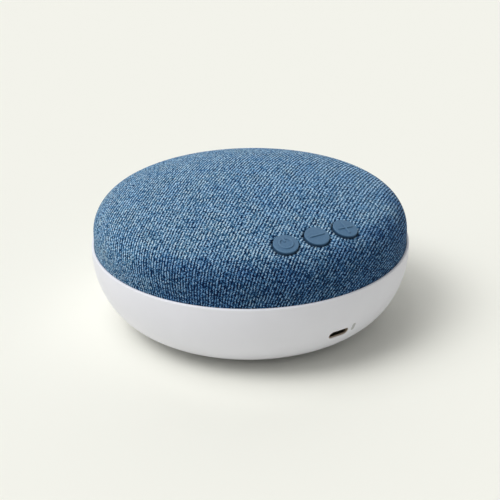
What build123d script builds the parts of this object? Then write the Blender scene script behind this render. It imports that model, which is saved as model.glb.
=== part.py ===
from build123d import *
import math
import os

os.makedirs("parts", exist_ok=True)

# A round white noise sound machine: a white moulded bowl, a domed speaker grille under a
# fabric cover, and three keys that stand proud of the fabric.
# Millimetres and degrees. +Z is up, the table is z = 0 and the keys are on the -Y side.

# ------------------------------------------------------------------ driving dimensions

# Bowl
rim_radius = 67.0
rim_height = 35.0
bowl_wall = 3.0
rim_lean = 3.0
side_radius = 37.5
side_turn = 28.5
rim_land = 0.9
rim_round = 0.6
rabbet_depth = 4.0
foot_lift = 1.5

# Silicone foot ring, let into a groove under the bowl, over the case screws
foot_width = 7.6
foot_groove = 1.0
foot_clearance = 0.1
foot_round = 0.5

# Dome: the fabric's outer face is the driving form, the grille lies under it
fabric_gap = 0.15
fabric_thickness = 0.9
fabric_wall = 5.6
shoulder_radius = 13.0
crown_angle = 21.2
grille_wall = 2.2
hem_width = 5.5
sound_hole_radius = 2.4
sound_hole_pitch = 8.5
sound_hole_rings = 4
holes_in_first_ring = 6

# Baffle between the bowl and the dome
baffle_thickness = 2.4
baffle_clearance = 0.2
baffle_rib = 1.6
baffle_rib_depth = 3.0
baffle_rib_count = 12
cable_slot_length = 14.0
cable_slot_width = 5.0
cable_slot_offset = 8.3

# Fasteners
case_screw_angle = 25.0
case_screw_length = 14.0
case_screw_seat = 13.0
case_column_wall = 1.9
case_column_height = 20.0
case_boss_gap = 0.15
dome_screw_inset = 11.4
dome_screw_length = 9.0
dome_boss_radius = 3.4
screw_radius = 1.3
screw_head_radius = 2.5
screw_head_height = 1.7
screw_clearance = 0.25
pilot_clearance = 0.05
small_screw_radius = 0.9
small_screw_head_radius = 1.8
small_screw_head_height = 1.2
small_screw_length = 5.0

# Keys
key_inset = 14.45
key_row_bow = 0.65
key_radius = 5.05
key_rise = 0.9
key_edge_round = 0.45
key_gap = 0.25
key_travel = 0.5
key_rest_gap = 0.05
key_flange_width = 1.3
key_flange_thickness = 1.0
key_flange_gap = 1.13
key_sleeve_wall = 1.8
key_sleeve_depth = 5.6
key_pin_radius = 2.4
key_pin_length = 0.8

# Key switches and their board
switch_width = 6.0
switch_height = 3.5
plunger_radius = 1.75
plunger_clearance = 0.1
plunger_margin = 0.4
plunger_seat = 1.0
switch_floor = 0.8
key_board_length = 54.0
key_board_width = 12.0
key_board_thickness = 1.2
key_board_corner = 1.5
key_board_screw_offset = 23.5
key_post_radius = 2.4

# Speaker driver
speaker_radius = 33.0
gasket_thickness = 0.8
flange_width = 4.4
flange_thickness = 1.2
ear_offset = 2.4
ear_radius = 3.0
ear_boss_floor = 0.8
speaker_screw_length = 6.5
basket_depth = 13.4
basket_wall = 1.2
basket_floor_radius = 19.0
basket_windows = 6
basket_window_width = 9.0
baffle_hole_gap = 0.8
spider_seat_width = 3.0
spider_seat_height = 1.4
spider_thickness = 0.5
spider_wave = 0.5
spider_waves = 4
coil_radius = 7.7
coil_wall = 0.4
coil_gap = 0.45
coil_length = 10.0
top_plate_radius = 17.0
top_plate_thickness = 3.0
magnet_radius = 18.2
magnet_hole_radius = 9.6
magnet_height = 7.0
back_plate_radius = 17.0
back_plate_thickness = 2.5
cone_wall = 0.6
cone_neck_lift = 1.6
cone_lip = 1.4
surround_roll = 1.5
surround_wall = 0.5
surround_gap = 0.2
dust_cap_radius = 9.6
dust_cap_rise = 2.6
dust_cap_wall = 0.5
terminal_length = 9.0
terminal_width = 4.5
terminal_thickness = 1.0
terminal_drop = 6.0
terminal_angle = -48.0

# Charging port and charge light
port_angle = 3.0
port_height = 16.6
port_clearance = 0.2
port_edge_round = 0.3
port_mouth_inset = 5.2
usb_width = 8.94
usb_height = 3.16
usb_shell = 0.3
usb_length = 10.5
usb_back = 1.0
tongue_width = 6.7
tongue_thickness = 0.7
tongue_setback = 1.0
light_rise = 1.0
light_width = 1.6
light_height = 3.8
light_gap = 0.03
led_gap = 0.13
led_width = 3.0
led_depth = 1.6
led_height = 4.2

# Main board, square to the port
board_inset = 9.8
board_width = 52.0
board_depth = 31.0
board_thickness = 1.6
standoff_radius = 2.8
standoff_x = 20.0
front_row = 10.2
capacitor_row = 19.7
back_row = 25.2
connector_row = 27.7
chip_height = 1.0
sound_chip_size = 9.0
amplifier_length = 8.0
amplifier_width = 5.0
capacitor_radius = 3.2
capacitor_height = 7.5
capacitor_gap = 1.2
connector_length = 7.0
connector_width = 4.0
connector_height = 4.2
connector_x = 12.0

# Battery and wires
cell_radius = 9.25
cell_length = 65.0
cell_round = 1.0
cell_column_gap = 1.5
cell_height = 18.0
cell_clearance = 0.1
saddle_thickness = 2.0
saddle_x = 18.0
saddle_width = 16.0
hold_down_reach = 5.8
end_stop_height = 9.0
wire_radius = 0.6
wire_spacing = 2.0
wire_bend = 2.5
lead_gap = 1.85
lead_dip = 4.0
lead_rise = 4.0
lead_sweep = 8.0
ribbon_width = 7.0
ribbon_thickness = 0.7
ribbon_bend = 5.0

# ------------------------------------------------------------------ derived places


def sine(angle):
    return math.sin(math.radians(angle))


def cosine(angle):
    return math.cos(math.radians(angle))


# Bowl: a side arc that leans in a little at the rim, and a tighter heel arc down to the flat bottom
side_x = rim_radius - side_radius * cosine(rim_lean)
side_z = rim_height - side_radius * sine(rim_lean)
heel_top_z = side_z - side_radius * sine(side_turn)
heel_radius = (heel_top_z - foot_lift) / (1 - sine(side_turn))
heel_x = side_x + (side_radius - heel_radius) * cosine(side_turn)
heel_z = foot_lift + heel_radius
floor_z = foot_lift + bowl_wall
ledge_z = rim_height - rabbet_depth
rabbet_radius = rim_radius - rim_land

# Dome: a vertical wall, a shoulder arc and a shallow crown arc
fabric_radius = rabbet_radius - fabric_gap
baffle_radius = rabbet_radius - baffle_clearance
baffle_top = ledge_z + baffle_thickness
shoulder_x = fabric_radius - shoulder_radius
shoulder_z = rim_height + fabric_wall
crown_radius = (fabric_radius - shoulder_radius * (1 - sine(crown_angle))) / sine(crown_angle)
crown_z = shoulder_z + (shoulder_radius - crown_radius) * cosine(crown_angle)
apex_z = crown_z + crown_radius

# Keys stand in a row that bows a little, and move along the dome's normal at the middle key
key_circle = fabric_radius - key_inset
key_bore_radius = key_radius + key_gap
key_flange_radius = key_radius + key_flange_width
key_pitch = 2 * key_flange_radius + key_flange_gap
key_tilt = math.degrees(math.asin(key_circle / crown_radius))
key_z = crown_z + crown_radius * cosine(key_tilt)
key_plane = Plane(
    origin=(0, -key_circle, key_z),
    x_dir=(1, 0, 0),
    z_dir=(0, -sine(key_tilt), cosine(key_tilt)),
)
key_names = ["power", "minus", "plus"]
key_points = [(-key_pitch, key_row_bow), (0, 0), (key_pitch, key_row_bow)]
key_flange_depth = key_sleeve_depth + key_rest_gap
key_pin_depth = key_flange_depth + key_flange_thickness + key_pin_length
plunger_rise = key_travel + plunger_margin
switch_top_depth = key_pin_depth + plunger_rise
key_board_depth = switch_top_depth + switch_height
key_board_points = [(-key_board_screw_offset, 0), (key_board_screw_offset, 0)]
cable_slot_y = cable_slot_offset - key_circle

# Screw places: the case screws run just outside the speaker's opening, under the foot ring
flange_hole_radius = speaker_radius - flange_width
baffle_hole_radius = flange_hole_radius + basket_wall + baffle_hole_gap
case_counterbore = screw_head_radius + screw_clearance
case_column_radius = case_counterbore + case_column_wall
foot_radius = baffle_hole_radius + case_boss_gap + case_column_radius
dome_screw_circle = fabric_radius - dome_screw_inset
ear_circle = speaker_radius + ear_offset
case_angles = [case_screw_angle, 180 - case_screw_angle, 180 + case_screw_angle, -case_screw_angle]
case_points = [(foot_radius * cosine(turn), foot_radius * sine(turn)) for turn in case_angles]
case_screw_y = foot_radius * sine(case_screw_angle)
corner_angles = [45, 135, 225, 315]
dome_points = [(dome_screw_circle * cosine(turn), dome_screw_circle * sine(turn)) for turn in corner_angles]
ear_points = [(ear_circle * cosine(turn), ear_circle * sine(turn)) for turn in corner_angles]
pilot_radius = screw_radius + pilot_clearance
small_pilot_radius = small_screw_radius + pilot_clearance

# Speaker heights, from the baffle down to the back plate and up to the surround
flange_z = baffle_top + gasket_thickness
flange_top = flange_z + flange_thickness
speaker_screw_tip = flange_top - speaker_screw_length
basket_floor_z = flange_z - basket_depth
spider_z = basket_floor_z + basket_wall + spider_seat_height
top_plate_z = basket_floor_z - top_plate_thickness
magnet_z = top_plate_z - magnet_height
back_plate_z = magnet_z - back_plate_thickness
coil_outer = coil_radius + coil_wall
pole_radius = coil_radius - coil_gap
coil_slot_radius = coil_outer + coil_gap
neck_z = spider_z + spider_thickness + cone_neck_lift
cone_top = flange_top
surround_outer = flange_hole_radius - surround_gap
cone_radius = surround_outer - 2 * surround_roll

# Board and port, whose rows are counted from the board's front edge at the bowl's wall
port_mouth_radius = rim_radius - port_mouth_inset
board_radius = rim_radius - board_inset
board_top = port_height - usb_height / 2
board_bottom = board_top - board_thickness
board_plane = Plane(
    origin=(0, 0, board_bottom),
    x_dir=(cosine(port_angle), sine(port_angle), 0),
    z_dir=(0, 0, 1),
)
front_y = front_row - board_radius
connector_y = connector_row - board_radius
standoff_points = [
    (side * standoff_x, row - board_radius) for side in (-1, 1) for row in (back_row, front_row)
]
capacitor_points = [
    (side * (capacitor_radius + capacitor_gap / 2) - connector_x, capacitor_row - board_radius)
    for side in (-1, 1)
]
ribbon_point = (cable_slot_y * sine(port_angle), cable_slot_y * cosine(port_angle))
usb_back_radius = port_mouth_radius - usb_length
light_z = port_height + light_rise
led_radius = board_radius - led_depth
light_angle = port_angle + math.degrees(math.asin((usb_width / 2 + led_gap + led_width / 2) / led_radius))
light_inner_radius = board_radius
cell_y = case_screw_y + case_column_radius + cell_column_gap + cell_radius
saddle_positions = [-saddle_x - saddle_thickness / 2, saddle_x - saddle_thickness / 2]
end_stop_x = cell_length / 2 + cell_clearance
hold_down_z = cell_height + hold_down_reach
connector_top = board_top + connector_height


# ------------------------------------------------------------------ shared forms


def bowl(inset, mode=Mode.ADD):
    """Solid bowl, its skin moved in by inset, from its bottom up to the rim plane."""
    with BuildSketch(Plane.XZ) as section:
        with BuildLine():
            lean = math.degrees(math.asin((rim_height - side_z) / (side_radius - inset)))
            side = CenterArc((side_x, side_z), side_radius - inset, lean, -lean - side_turn)
            heel = CenterArc((heel_x, heel_z), heel_radius - inset, -side_turn, side_turn - 90)
            Polyline(heel @ 1, (0, foot_lift + inset), (0, rim_height), side @ 0)
        make_face()
    revolve(section.sketch, axis=Axis.Z, mode=mode)


def dome_face(inset, bottom):
    """Half section of the dome, its skin moved in by inset from the fabric's outer face."""
    with BuildSketch(Plane.XZ) as section:
        with BuildLine():
            shoulder = CenterArc((shoulder_x, shoulder_z), shoulder_radius - inset, 0, 90 - crown_angle)
            crown = CenterArc((0, crown_z), crown_radius - inset, 90 - crown_angle, crown_angle)
            Polyline(crown @ 1, (0, bottom), (fabric_radius - inset, bottom), shoulder @ 0)
        make_face()
    return section.sketch


def dome(inset, bottom, mode=Mode.ADD):
    """Solid dome down to bottom."""
    revolve(dome_face(inset, bottom), axis=Axis.Z, mode=mode)


def dome_shell(inset, thickness, bottom, floor=0):
    """Hollow dome, with a floor of the given thickness or open underneath."""
    with BuildSketch(Plane.XZ) as section:
        add(dome_face(inset, bottom))
        add(dome_face(inset + thickness, bottom + floor), mode=Mode.SUBTRACT)
    revolve(section.sketch, axis=Axis.Z)


def discs(plane, points, radius, height, mode=Mode.ADD):
    """Equal round pins, bosses or bores, standing on a plane."""
    with BuildSketch(plane) as section:
        with Locations(*points):
            Circle(radius)
    extrude(section.sketch, amount=height, mode=mode)


def ring(bottom, outer_radius, inner_radius, height, mode=Mode.ADD):
    """Flat ring about the vertical axis."""
    with BuildSketch(Plane.XY.offset(bottom)) as section:
        Circle(outer_radius)
        Circle(inner_radius, mode=Mode.SUBTRACT)
    extrude(section.sketch, amount=height, mode=mode)


def turned(points, mode=Mode.ADD):
    """Body turned about the vertical axis from a straight-sided outline of (radius, z)."""
    with BuildSketch(Plane.XZ) as section:
        with BuildLine():
            Polyline(*points, close=True)
        make_face()
    revolve(section.sketch, axis=Axis.Z, mode=mode)


def block(plane, point, length, width, height, mode=Mode.ADD):
    """Square-cornered block standing on a plane."""
    with BuildSketch(plane) as section:
        with Locations(point):
            Rectangle(length, width)
    extrude(section.sketch, amount=height, mode=mode)


def screws(plane, points, length):
    """Self-tapping screws: heads under the plane, shanks above it."""
    discs(plane, points, screw_head_radius, -screw_head_height)
    discs(plane, points, screw_radius, length)


def small_screws(plane, points, length):
    """Board screws: heads under the plane, shanks above it."""
    discs(plane, points, small_screw_head_radius, -small_screw_head_height)
    discs(plane, points, small_screw_radius, length)


def flipped(plane):
    """The same plane facing the other way, with its x direction kept."""
    return Plane(origin=plane.origin, x_dir=plane.x_dir, z_dir=-plane.z_dir)


def wall_plane(turn, radius, height):
    """Upright plane that faces out of the bowl, turned from -Y towards +X."""
    return Plane(
        origin=(radius * sine(turn), -radius * cosine(turn), height),
        x_dir=(cosine(turn), sine(turn), 0),
        z_dir=(sine(turn), -cosine(turn), 0),
    )


def wire(points):
    """Insulated wire: straight runs joined by tangent arcs."""
    with BuildLine() as route:
        FilletPolyline(*points, radius=wire_bend)
    with BuildSketch(Plane(origin=route.line @ 0, z_dir=route.line % 0)) as section:
        Circle(wire_radius)
    sweep(section.sketch, path=route.line)


# ------------------------------------------------------------------ bowl and foot

with BuildPart() as base_shell:
    bowl(0)
    fillet(base_shell.edges().filter_by(GeomType.CIRCLE).sort_by(Axis.Z)[-1], rim_round)
    bowl(bowl_wall, mode=Mode.SUBTRACT)
    # Columns for the case screws
    discs(Plane.XY.offset(floor_z - bowl_wall / 2), case_points, case_column_radius,
          case_column_height - floor_z + bowl_wall / 2)
    # Standoffs for the main board
    discs(board_plane.offset(foot_lift - board_bottom), standoff_points, standoff_radius,
          board_bottom - foot_lift)
    # Saddles and end stops for the cell
    for x in saddle_positions:
        block(Plane.YZ.offset(x), (cell_y, cell_height / 2), saddle_width, cell_height, saddle_thickness)
    for x in (end_stop_x, -end_stop_x - saddle_thickness):
        block(Plane.YZ.offset(x), (cell_y, (floor_z + end_stop_height) / 2), saddle_width,
              floor_z + end_stop_height, saddle_thickness)
    with BuildSketch(Plane.YZ.offset(-end_stop_x)):
        with Locations((cell_y, cell_height)):
            Circle(cell_radius + cell_clearance)
    extrude(amount=2 * end_stop_x, mode=Mode.SUBTRACT)
    bowl(0, mode=Mode.INTERSECT)
    # Rabbet for the baffle and the fabric hem
    with BuildSketch(Plane.XY.offset(ledge_z)):
        Circle(rabbet_radius)
    extrude(amount=rabbet_depth, mode=Mode.SUBTRACT)
    # Foot groove, and the counterbores that it hides
    ring(foot_lift, foot_radius + foot_width / 2 + foot_clearance,
         foot_radius - foot_width / 2 - foot_clearance, foot_groove, mode=Mode.SUBTRACT)
    discs(Plane.XY.offset(foot_lift), case_points, case_counterbore, case_screw_seat - foot_lift,
          mode=Mode.SUBTRACT)
    discs(Plane.XY.offset(case_screw_seat), case_points, screw_radius + screw_clearance,
          case_column_height - case_screw_seat, mode=Mode.SUBTRACT)
    discs(board_plane, standoff_points, small_pilot_radius, -small_screw_length, mode=Mode.SUBTRACT)
    # Charging slot and charge light hole, both cut square to the wall
    with BuildSketch(wall_plane(port_angle, usb_back_radius, port_height)):
        SlotOverall(usb_width + 2 * port_clearance, usb_height + 2 * port_clearance)
    extrude(amount=rim_radius - usb_back_radius, mode=Mode.SUBTRACT)
    port_axis = Axis((0, 0, port_height), wall_plane(port_angle, 0, port_height).z_dir)
    fillet(base_shell.edges(Select.LAST).sort_by(port_axis)[-4:], port_edge_round)
    with BuildSketch(wall_plane(light_angle, light_inner_radius, light_z)):
        SlotOverall(light_height + 2 * light_gap, light_width + 2 * light_gap, rotation=90)
    extrude(amount=rim_radius - light_inner_radius, mode=Mode.SUBTRACT)
base_shell.part.label = "base_shell"
export_step(base_shell.part, "parts/base_shell.step")

with BuildPart() as foot_ring:
    ring(0, foot_radius + foot_width / 2, foot_radius - foot_width / 2, foot_lift + foot_groove)
    fillet(foot_ring.edges().group_by(Axis.Z)[0], foot_round)
foot_ring.part.label = "foot_ring"
export_step(foot_ring.part, "parts/foot_ring.step")

with BuildPart() as case_screws:
    screws(Plane.XY.offset(case_screw_seat), case_points, case_screw_length)
case_screws.part.label = "case_screws"
export_step(case_screws.part, "parts/case_screws.step")

# ------------------------------------------------------------------ baffle

with BuildPart() as speaker_baffle:
    with BuildSketch(Plane.XY.offset(ledge_z)):
        Circle(baffle_radius)
    extrude(amount=baffle_thickness)
    # Stiffening ribs, bosses for the case screws and for the speaker screws
    with BuildSketch(Plane.XY.offset(ledge_z)):
        with PolarLocations((baffle_hole_radius + dome_screw_circle) / 2, baffle_rib_count):
            Rectangle(dome_screw_circle - baffle_hole_radius, baffle_rib)
    extrude(amount=-baffle_rib_depth)
    discs(Plane.XY.offset(case_column_height), case_points, case_column_radius,
          ledge_z - case_column_height)
    discs(Plane.XY.offset(speaker_screw_tip - ear_boss_floor), ear_points, ear_radius,
          ledge_z - speaker_screw_tip + ear_boss_floor)
    # Hold-down ribs over the cell
    for x in saddle_positions:
        block(Plane.YZ.offset(x), (cell_y, (hold_down_z + ledge_z) / 2), saddle_width,
              ledge_z - hold_down_z, saddle_thickness)
    with BuildSketch(Plane.YZ.offset(-end_stop_x)):
        with Locations((cell_y, cell_height)):
            Circle(cell_radius + cell_clearance)
    extrude(amount=2 * end_stop_x, mode=Mode.SUBTRACT)
    # Speaker opening, cable slot, screw holes
    with BuildSketch(Plane.XY.offset(baffle_top)):
        Circle(baffle_hole_radius)
        with Locations((0, cable_slot_y)):
            RectangleRounded(cable_slot_length, cable_slot_width, cable_slot_width / 4)
    extrude(amount=-baffle_thickness - baffle_rib_depth, mode=Mode.SUBTRACT)
    discs(Plane.XY.offset(case_column_height), case_points, pilot_radius,
          case_screw_seat + case_screw_length - case_column_height, mode=Mode.SUBTRACT)
    discs(Plane.XY.offset(ledge_z), dome_points, screw_head_radius + screw_clearance,
          -baffle_rib_depth, mode=Mode.SUBTRACT)
    discs(Plane.XY.offset(ledge_z), dome_points, screw_radius + screw_clearance,
          baffle_thickness, mode=Mode.SUBTRACT)
    discs(Plane.XY.offset(baffle_top), ear_points, pilot_radius, speaker_screw_tip - baffle_top,
          mode=Mode.SUBTRACT)
speaker_baffle.part.label = "speaker_baffle"
export_step(speaker_baffle.part, "parts/speaker_baffle.step")

with BuildPart() as dome_screws:
    screws(Plane.XY.offset(ledge_z), dome_points, dome_screw_length)
dome_screws.part.label = "dome_screws"
export_step(dome_screws.part, "parts/dome_screws.step")

# ------------------------------------------------------------------ grille dome and fabric

with BuildPart() as grille_dome:
    # Bosses, key sleeves and board posts, which end within the grille's wall
    discs(Plane.XY.offset(baffle_top), dome_points, dome_boss_radius, apex_z - baffle_top)
    discs(key_plane.offset(-key_sleeve_depth), key_points, key_bore_radius + key_sleeve_wall,
          key_sleeve_depth)
    discs(key_plane.offset(-key_board_depth), key_board_points, key_post_radius, key_board_depth)
    dome(fabric_thickness + grille_wall / 2, baffle_top, mode=Mode.INTERSECT)
    dome_shell(fabric_thickness, grille_wall, baffle_top + fabric_thickness)
    discs(Plane.XY.offset(baffle_top), dome_points, pilot_radius,
          ledge_z + dome_screw_length - baffle_top, mode=Mode.SUBTRACT)
    discs(key_plane.offset(-key_board_depth), key_board_points, small_pilot_radius,
          small_screw_length - key_board_thickness, mode=Mode.SUBTRACT)
    discs(key_plane.offset(-key_sleeve_depth), key_points, key_bore_radius,
          key_sleeve_depth + key_radius, mode=Mode.SUBTRACT)
    # Sound holes in rings about the middle of the crown
    with BuildSketch(Plane.XY.offset(apex_z)):
        Circle(sound_hole_radius)
        for count in range(1, sound_hole_rings + 1):
            with PolarLocations(count * sound_hole_pitch, count * holes_in_first_ring):
                Circle(sound_hole_radius)
    extrude(amount=shoulder_z - apex_z, mode=Mode.SUBTRACT)
grille_dome.part.label = "grille_dome"
export_step(grille_dome.part, "parts/grille_dome.step")

with BuildPart() as fabric_cover:
    dome_shell(0, fabric_thickness, baffle_top, floor=fabric_thickness)
    with BuildSketch(Plane.XY.offset(baffle_top)):
        Circle(fabric_radius - hem_width)
    extrude(amount=fabric_thickness, mode=Mode.SUBTRACT)
    discs(key_plane.offset(-key_sleeve_depth), key_points, key_bore_radius,
          key_sleeve_depth + key_radius, mode=Mode.SUBTRACT)
fabric_cover.part.label = "fabric_cover"
export_step(fabric_cover.part, "parts/fabric_cover.step")

# ------------------------------------------------------------------ keys, switches and their board

key_axis = Axis(key_plane.origin, key_plane.z_dir)
for key_name, key_point in zip(key_names, key_points):
    with BuildPart() as key_cap:
        discs(key_plane.offset(-key_flange_depth), [key_point], key_radius, key_flange_depth + key_radius)
        dome(-key_rise, baffle_top, mode=Mode.INTERSECT)
        fillet(key_cap.edges().filter_by(GeomType.LINE, reverse=True).sort_by(key_axis)[-1], key_edge_round)
        discs(key_plane.offset(-key_flange_depth), [key_point], key_flange_radius, -key_flange_thickness)
        discs(key_plane.offset(-key_pin_depth), [key_point], key_pin_radius, key_pin_length)
    key_cap.part.label = "button_" + key_name
    export_step(key_cap.part, "parts/button_" + key_name + ".step")

    with BuildPart() as plunger:
        discs(key_plane.offset(-key_pin_depth), [key_point], plunger_radius, -plunger_rise - plunger_seat)
    plunger.part.label = "plunger_" + key_name
    export_step(plunger.part, "parts/plunger_" + key_name + ".step")

    with BuildPart() as switch_body:
        block(key_plane.offset(-key_board_depth), key_point, switch_width, switch_width, switch_height)
        discs(key_plane.offset(-switch_top_depth), [key_point], plunger_radius + plunger_clearance,
              switch_floor - switch_height, mode=Mode.SUBTRACT)
    switch_body.part.label = "switch_" + key_name
    export_step(switch_body.part, "parts/switch_" + key_name + ".step")

with BuildPart() as button_board:
    with BuildSketch(key_plane.offset(-key_board_depth)):
        RectangleRounded(key_board_length, key_board_width, key_board_corner)
    extrude(amount=-key_board_thickness)
    discs(key_plane.offset(-key_board_depth), key_board_points, small_pilot_radius, -key_board_thickness,
          mode=Mode.SUBTRACT)
button_board.part.label = "button_board"
export_step(button_board.part, "parts/button_board.step")

key_board_back = key_plane.offset(-key_board_depth - key_board_thickness)
with BuildPart() as button_board_screws:
    small_screws(key_board_back, key_board_points, small_screw_length)
button_board_screws.part.label = "button_board_screws"
export_step(button_board_screws.part, "parts/button_board_screws.step")

with BuildPart() as button_board_connector:
    block(key_board_back, (0, 0), ribbon_width + 2, connector_width, -connector_height / 2)
button_board_connector.part.label = "button_board_connector"
export_step(button_board_connector.part, "parts/button_board_connector.step")

# ------------------------------------------------------------------ speaker driver

with BuildPart() as speaker_gasket:
    ring(baffle_top, speaker_radius, baffle_hole_radius, gasket_thickness)
speaker_gasket.part.label = "speaker_gasket"
export_step(speaker_gasket.part, "parts/speaker_gasket.step")

with BuildPart() as speaker_frame:
    with BuildSketch(Plane.XY.offset(flange_z)):
        Circle(speaker_radius)
        with Locations(*ear_points):
            Circle(ear_radius)
        Circle(flange_hole_radius, mode=Mode.SUBTRACT)
        with Locations(*ear_points):
            Circle(screw_radius + screw_clearance, mode=Mode.SUBTRACT)
    extrude(amount=flange_thickness)
    # Sloping basket down to the floor that carries the top plate
    turned([
        (coil_slot_radius, basket_floor_z),
        (basket_floor_radius + basket_wall, basket_floor_z),
        (flange_hole_radius + basket_wall, flange_z),
        (flange_hole_radius + basket_wall, flange_top),
        (flange_hole_radius, flange_top),
        (flange_hole_radius, flange_z),
        (basket_floor_radius, basket_floor_z + basket_wall),
        (coil_slot_radius, basket_floor_z + basket_wall),
    ])
    ring(basket_floor_z + basket_wall, basket_floor_radius, basket_floor_radius - spider_seat_width,
         spider_seat_height)
    with BuildSketch(Plane.XY.offset(spider_z)):
        with PolarLocations(speaker_radius / 2, basket_windows):
            Rectangle(speaker_radius, basket_window_width)
        Circle(basket_floor_radius, mode=Mode.SUBTRACT)
    extrude(amount=flange_z - basket_wall - spider_z, mode=Mode.SUBTRACT)
speaker_frame.part.label = "speaker_frame"
export_step(speaker_frame.part, "parts/speaker_frame.step")

with BuildPart() as speaker_screws:
    screws(flipped(Plane.XY.offset(flange_top)), [(x, -y) for x, y in ear_points],
           speaker_screw_length)
speaker_screws.part.label = "speaker_screws"
export_step(speaker_screws.part, "parts/speaker_screws.step")

with BuildPart() as speaker_top_plate:
    ring(top_plate_z, top_plate_radius, coil_slot_radius, top_plate_thickness)
speaker_top_plate.part.label = "speaker_top_plate"
export_step(speaker_top_plate.part, "parts/speaker_top_plate.step")

with BuildPart() as speaker_magnet:
    ring(magnet_z, magnet_radius, magnet_hole_radius, magnet_height)
speaker_magnet.part.label = "speaker_magnet"
export_step(speaker_magnet.part, "parts/speaker_magnet.step")

with BuildPart() as speaker_back_plate:
    discs(Plane.XY.offset(back_plate_z), [(0, 0)], back_plate_radius, back_plate_thickness)
    discs(Plane.XY.offset(magnet_z), [(0, 0)], pole_radius, magnet_height + top_plate_thickness)
speaker_back_plate.part.label = "speaker_back_plate"
export_step(speaker_back_plate.part, "parts/speaker_back_plate.step")

with BuildPart() as voice_coil:
    ring(neck_z - coil_length, coil_outer, coil_radius, coil_length)
voice_coil.part.label = "voice_coil"
export_step(voice_coil.part, "parts/voice_coil.step")

with BuildPart() as speaker_spider:
    with BuildSketch(Plane.XZ):
        with BuildLine():
            wave_step = (basket_floor_radius - spider_seat_width - coil_outer) / (2 * spider_waves)
            wave = [
                (coil_outer + count * wave_step, spider_z + spider_wave * (count % 2))
                for count in range(2 * spider_waves + 1)
            ]
            top = Polyline(*wave, (basket_floor_radius, spider_z))
            under = Polyline(*[(r, z + spider_thickness) for r, z in wave],
                             (basket_floor_radius, spider_z + spider_thickness))
            Line(top @ 0, under @ 0)
            Line(top @ 1, under @ 1)
        make_face()
    revolve(axis=Axis.Z)
speaker_spider.part.label = "speaker_spider"
export_step(speaker_spider.part, "parts/speaker_spider.step")

with BuildPart() as speaker_cone:
    turned([
        (coil_outer, neck_z - cone_wall),
        (coil_outer, neck_z),
        (cone_radius - cone_lip, cone_top),
        (cone_radius, cone_top),
        (cone_radius, cone_top - cone_wall),
    ])
speaker_cone.part.label = "speaker_cone"
export_step(speaker_cone.part, "parts/speaker_cone.step")

with BuildPart() as speaker_surround:
    with BuildSketch(Plane.XZ):
        with BuildLine():
            roll_x = (cone_radius + surround_outer) / 2
            rise = cone_top + surround_wall
            inner_lip = Polyline(
                (cone_radius + surround_wall, cone_top),
                (cone_radius - cone_lip, cone_top),
                (cone_radius - cone_lip, rise),
                (cone_radius, rise),
            )
            outer_roll = CenterArc((roll_x, rise), surround_roll, 180, -180)
            outer_lip = Polyline(
                outer_roll @ 1,
                (speaker_radius - surround_wall, rise),
                (speaker_radius - surround_wall, cone_top),
                (surround_outer - surround_wall, cone_top),
                (surround_outer - surround_wall, rise),
            )
            inner_roll = CenterArc((roll_x, rise), surround_roll - surround_wall, 0, 180)
            Line(inner_roll @ 1, inner_lip @ 0)
        make_face()
    revolve(axis=Axis.Z)
speaker_surround.part.label = "speaker_surround"
export_step(speaker_surround.part, "parts/speaker_surround.step")

cone_slope = (cone_top - neck_z) / (cone_radius - cone_lip - coil_outer)
dust_cap_z = neck_z + (dust_cap_radius - coil_outer) * cone_slope
cap_sphere = (dust_cap_radius**2 + dust_cap_rise**2) / (2 * dust_cap_rise)
cap_angle = math.degrees(math.asin(dust_cap_radius / cap_sphere))
with BuildPart() as speaker_dust_cap:
    with BuildSketch(Plane.XZ):
        with BuildLine():
            cap_centre = (0, dust_cap_z + dust_cap_rise - cap_sphere)
            cap_under = CenterArc(cap_centre, cap_sphere, 90 - cap_angle, cap_angle)
            cap_top = CenterArc(cap_centre, cap_sphere + dust_cap_wall, 90 - cap_angle, cap_angle)
            Line(cap_under @ 0, cap_top @ 0)
            Line(cap_under @ 1, cap_top @ 1)
        make_face()
    revolve(axis=Axis.Z)
speaker_dust_cap.part.label = "speaker_dust_cap"
export_step(speaker_dust_cap.part, "parts/speaker_dust_cap.step")

terminal_z = flange_z - terminal_drop
basket_run = (flange_hole_radius - basket_floor_radius) / basket_depth
terminal_radius = basket_floor_radius + basket_wall + (terminal_z - basket_floor_z) * basket_run
terminal_plane = Plane(
    origin=(0, 0, terminal_z),
    x_dir=(cosine(terminal_angle), sine(terminal_angle), 0),
    z_dir=(0, 0, 1),
)
with BuildPart() as speaker_terminals:
    block(terminal_plane, (terminal_radius + terminal_width / 2, 0), terminal_width, terminal_length,
          -terminal_thickness)
speaker_terminals.part.label = "speaker_terminals"
export_step(speaker_terminals.part, "parts/speaker_terminals.step")

# ------------------------------------------------------------------ main board and port

board_surface = board_plane.offset(board_thickness)
with BuildPart() as main_board:
    with BuildSketch(board_plane):
        with Locations((0, board_depth / 2 - board_radius)):
            Rectangle(board_width, board_depth)
        Circle(board_radius, mode=Mode.INTERSECT)
    extrude(amount=board_thickness)
    discs(board_plane, standoff_points, small_pilot_radius, board_thickness, mode=Mode.SUBTRACT)
main_board.part.label = "main_board"
export_step(main_board.part, "parts/main_board.step")

with BuildPart() as main_board_screws:
    small_screws(flipped(board_surface), [(x, -y) for x, y in standoff_points],
                 small_screw_length)
main_board_screws.part.label = "main_board_screws"
export_step(main_board_screws.part, "parts/main_board_screws.step")

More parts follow.
